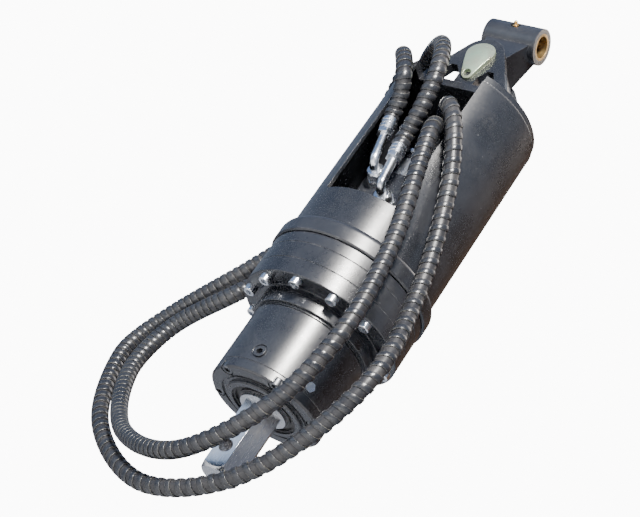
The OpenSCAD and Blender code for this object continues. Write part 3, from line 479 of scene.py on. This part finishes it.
def weld(name, corners, radius, closed=True):
    """A rippled bead along straight runs between corners."""
    corners = [np.array(c, float) for c in corners]
    if closed:
        corners.append(corners[0])
    path = []
    for a, b in zip(corners, corners[1:]):
        steps = max(2, int(np.linalg.norm(b - a) / BEAD_STEP))
        path += [a + (b - a) * i / steps for i in range(steps)]
    if not closed:
        path.append(corners[-1])
    path = np.array(path)
    rng = np.random.default_rng(len(path))
    position = np.arange(len(path)) * BEAD_STEP
    ripple = np.abs(np.sin(math.pi * position / RIPPLE)) ** 0.7
    knots = np.arange(0, position[-1] + 2 * WANDER, WANDER)
    wander = np.interp(position, knots, rng.uniform(-0.06, 0.06, len(knots)))
    radii = radius * (0.86 + 0.14 * ripple + wander)
    verts, faces = round_sweep(path, radii, BEAD_SIDES, closed)
    return new_piece(name, verts, faces, materials["weld"], "drive", 60.0)


materials["weld"] = paint("paint_weld", (0.024, 0.025, 0.028), 0.25, 0.35, 0.0006)

EAR_BEAD = 0.0027
PLATE_BEAD = 0.0020
LIFT = 0.0006                      # of a bead's centre line from the surfaces it joins

foot_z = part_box("hitch_ears")[0].z
foot = [v.co for v in nodes["hitch_ears"].data.vertices if abs(v.co.z - foot_z) < 1e-4]
foot_x = sorted({round(c.x, 4) for c in foot})
foot_y = sorted({round(c.y, 4) for c in foot})
for e, (y0, y1) in enumerate(zip(foot_y[0::2], foot_y[1::2])):
    for f, (x0, x1) in enumerate(zip(foot_x[0::2], foot_x[1::2])):
        z = foot_z + LIFT
        weld(f"weld_ear_{e}_{f}", [(x0, y0, z), (x1, y0, z), (x1, y1, z), (x0, y1, z)], EAR_BEAD)

plate_low, plate_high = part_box("hood_top_plate")
plate_r = (plate_high.x - plate_low.x) / 2 + 0.0004
seam_z = plate_low.z + LIFT
notch_corner = min((v.co for v in nodes["hood_top_plate"].data.vertices), key=lambda co: co.y)
notch = math.atan2(abs(notch_corner.x), -notch_corner.y)
arc = np.linspace(notch - math.pi / 2, 1.5 * math.pi - notch, 240)
weld("weld_top_plate", [(plate_r * math.cos(a), plate_r * math.sin(a), seam_z) for a in arc], PLATE_BEAD, False)


# ---------- floor, light, camera ----------

TILT = math.radians(-28.0)         # the camera looks up at the drive, from its right, and is rolled
TURN = math.radians(34.0)
ROLL = math.radians(34.4)
DISTANCE = 2.39
AIM_DROP = 0.035
KEY_TURN = math.radians(20.0)      # these two put a long highlight down the middle of the casing
KEY_HEIGHT = math.radians(20.0)
FLOOR_DROP = 0.25                  # from the camera down to the floor
IMAGE_W, IMAGE_H = 640, 517
FILL = 0.93                        # share of the image that the drive takes up
back = Vector((math.sin(TURN) * math.cos(TILT), -math.cos(TURN) * math.cos(TILT), math.sin(TILT)))
drive_middle = Vector((0.0, 0.0, (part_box("knuckle")[1].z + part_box("output_shaft")[0].z) / 2))
camera_data = bpy.data.cameras.new("camera")
camera = bpy.data.objects.new("camera", camera_data)
bpy.context.scene.collection.objects.link(camera)
camera.rotation_mode = "QUATERNION"
camera.location = drive_middle + Vector((0, 0, -AIM_DROP)) + back * DISTANCE
camera_up = Quaternion((0, 0, 1), ROLL)


def corner_angles():
    """Camera-space x and y, over depth, of every shown mesh point."""
    inverse = camera.matrix_world.inverted()
    points = []
    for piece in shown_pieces():
        if piece.type == "MESH":
            co = np.empty(len(piece.data.vertices) * 3, np.float32)
            piece.data.vertices.foreach_get("co", co)
            points.append(co.reshape(-1, 3)[::7])
    local = np.vstack(points) @ np.array(inverse.to_3x3()).T + np.array(inverse.translation)
    return local[:, :2] / -local[:, 2:3]


camera.rotation_quaternion = (-back).to_track_quat("-Z", "Y") @ camera_up
bpy.context.view_layer.update()
angles = corner_angles()
centre = (angles.min(0) + angles.max(0)) / 2
aim = camera.rotation_quaternion @ Vector((centre[0], centre[1], -1.0))
camera.rotation_quaternion = aim.to_track_quat("-Z", "Y")
right = camera.rotation_quaternion @ Vector((1, 0, 0))
wanted = (-back).to_track_quat("-Z", "Y") @ camera_up @ Vector((1, 0, 0))
up = camera.rotation_quaternion @ Vector((0, 1, 0))
correction = math.atan2(wanted.dot(up), wanted.dot(right))
camera.rotation_quaternion = camera.rotation_quaternion @ Quaternion((0, 0, 1), correction)
bpy.context.view_layer.update()
angles = corner_angles()
reach = np.abs(angles).max(0)
half_width = max(reach[0], reach[1] * IMAGE_W / IMAGE_H) / FILL
camera_data.sensor_width = 36.0
camera_data.lens = camera_data.sensor_width / 2 / half_width
camera_data.clip_end = 60.0
bpy.context.scene.camera = camera

floor_z = camera.location.z - FLOOR_DROP
bpy.ops.mesh.primitive_plane_add(size=40.0, location=(0, 0, floor_z))
floor = bpy.context.active_object
floor.name = "floor"
floor_shader = Shader("floor_pale")
grain = floor_shader.noise(3.0, 4.0, 0.5)
floor_seen = floor_shader.tree.nodes.new("ShaderNodeLightPath").outputs["Is Camera Ray"]
floor_shader.set(
    Base_Color=floor_shader.mix(grain, (0.80, 0.80, 0.79), (0.84, 0.84, 0.83)),
    Roughness=0.8,
    Emission_Color=(0.93, 0.93, 0.92),
    Emission_Strength=floor_shader.math("MULTIPLY", floor_seen, 1.6),     # pale to the camera, no glow on the drive
)
floor_tree = floor_shader.tree                  # clear from below, so that a low camera isn't blocked
floor_mix = floor_tree.nodes.new("ShaderNodeMixShader")
floor_tree.links.new(floor_tree.nodes.new("ShaderNodeNewGeometry").outputs["Backfacing"], floor_mix.inputs["Fac"])
floor_tree.links.new(floor_shader.bsdf.outputs["BSDF"], floor_mix.inputs[1])
floor_tree.links.new(floor_tree.nodes.new("ShaderNodeBsdfTransparent").outputs["BSDF"], floor_mix.inputs[2])
floor_tree.links.new(floor_mix.outputs["Shader"], floor_shader.out.inputs["Surface"])
floor.data.materials.append(floor_shader.material)

world = bpy.data.worlds.new("studio")
bpy.context.scene.world = world
world.use_nodes = True
wt = world.node_tree
wt.nodes.clear()
w_out = wt.nodes.new("ShaderNodeOutputWorld")
w_mix = wt.nodes.new("ShaderNodeMixShader")
w_seen = wt.nodes.new("ShaderNodeBackground")
w_light = wt.nodes.new("ShaderNodeBackground")
w_path = wt.nodes.new("ShaderNodeLightPath")
w_coord = wt.nodes.new("ShaderNodeTexCoord")
w_dot = wt.nodes.new("ShaderNodeVectorMath")
w_dot.operation = "DOT_PRODUCT"
w_ramp = wt.nodes.new("ShaderNodeValToRGB")
view_up = camera.rotation_quaternion @ Vector((0, 1, 0))
w_dot.inputs[1].default_value = view_up
w_map = wt.nodes.new("ShaderNodeMapRange")
w_map.inputs["From Min"].default_value = -1.0
w_map.inputs["From Max"].default_value = 1.0
wt.links.new(w_coord.outputs["Generated"], w_dot.inputs[0])
wt.links.new(w_dot.outputs["Value"], w_map.inputs["Value"])
wt.links.new(w_map.outputs["Result"], w_ramp.inputs["Fac"])
ground_to_sky = (
    (0.0, (0.05, 0.035, 0.025)), (0.45, (0.34, 0.22, 0.15)), (0.55, (0.46, 0.56, 0.72)), (1.0, (0.26, 0.44, 0.85)),
)
elements = w_ramp.color_ramp.elements
for element, (position, colour) in zip((elements[0], elements[1]), (ground_to_sky[0], ground_to_sky[-1])):
    element.position, element.color = position, (*colour, 1)
for position, colour in ground_to_sky[1:-1]:
    elements.new(position).color = (*colour, 1)
wt.links.new(w_ramp.outputs["Color"], w_light.inputs["Color"])
w_light.inputs["Strength"].default_value = 0.60
w_seen.inputs["Color"].default_value = (0.93, 0.93, 0.925, 1)
w_seen.inputs["Strength"].default_value = 12.0
wt.links.new(w_path.outputs["Is Camera Ray"], w_mix.inputs["Fac"])
wt.links.new(w_light.outputs["Background"], w_mix.inputs[1])
wt.links.new(w_seen.outputs["Background"], w_mix.inputs[2])
wt.links.new(w_mix.outputs["Shader"], w_out.inputs["Surface"])


def area(name, direction, distance, size, power, colour):
    data = bpy.data.lights.new(name, "AREA")
    data.shape = "RECTANGLE"
    data.size, data.size_y = size
    data.energy = power
    data.color = colour
    obj = bpy.data.objects.new(name, data)
    bpy.context.scene.collection.objects.link(obj)
    d = Vector(direction).normalized()
    obj.location = drive_middle + d * distance
    obj.rotation_mode = "QUATERNION"
    obj.rotation_quaternion = (-d).to_track_quat("-Z", "Y")


side_vector = camera.rotation_quaternion @ Vector((1, 0, 0))
towards = camera.rotation_quaternion @ Vector((0, 0, 1))
sun = Vector((
    math.sin(KEY_TURN) * math.cos(KEY_HEIGHT), -math.cos(KEY_TURN) * math.cos(KEY_HEIGHT), math.sin(KEY_HEIGHT),
))
area("key", sun, 3.2, (0.55, 0.55), 400.0, (1.0, 0.97, 0.92))
area("sky_fill", view_up * 1.0 + towards * 0.3 - side_vector * 1.0, 4.0, (3.0, 2.0), 25.0, (0.72, 0.84, 1.0))
area("rim", view_up * 0.4 - towards * 0.8 + side_vector * 1.0, 3.5, (1.2, 2.4), 50.0, (1.0, 0.90, 0.80))
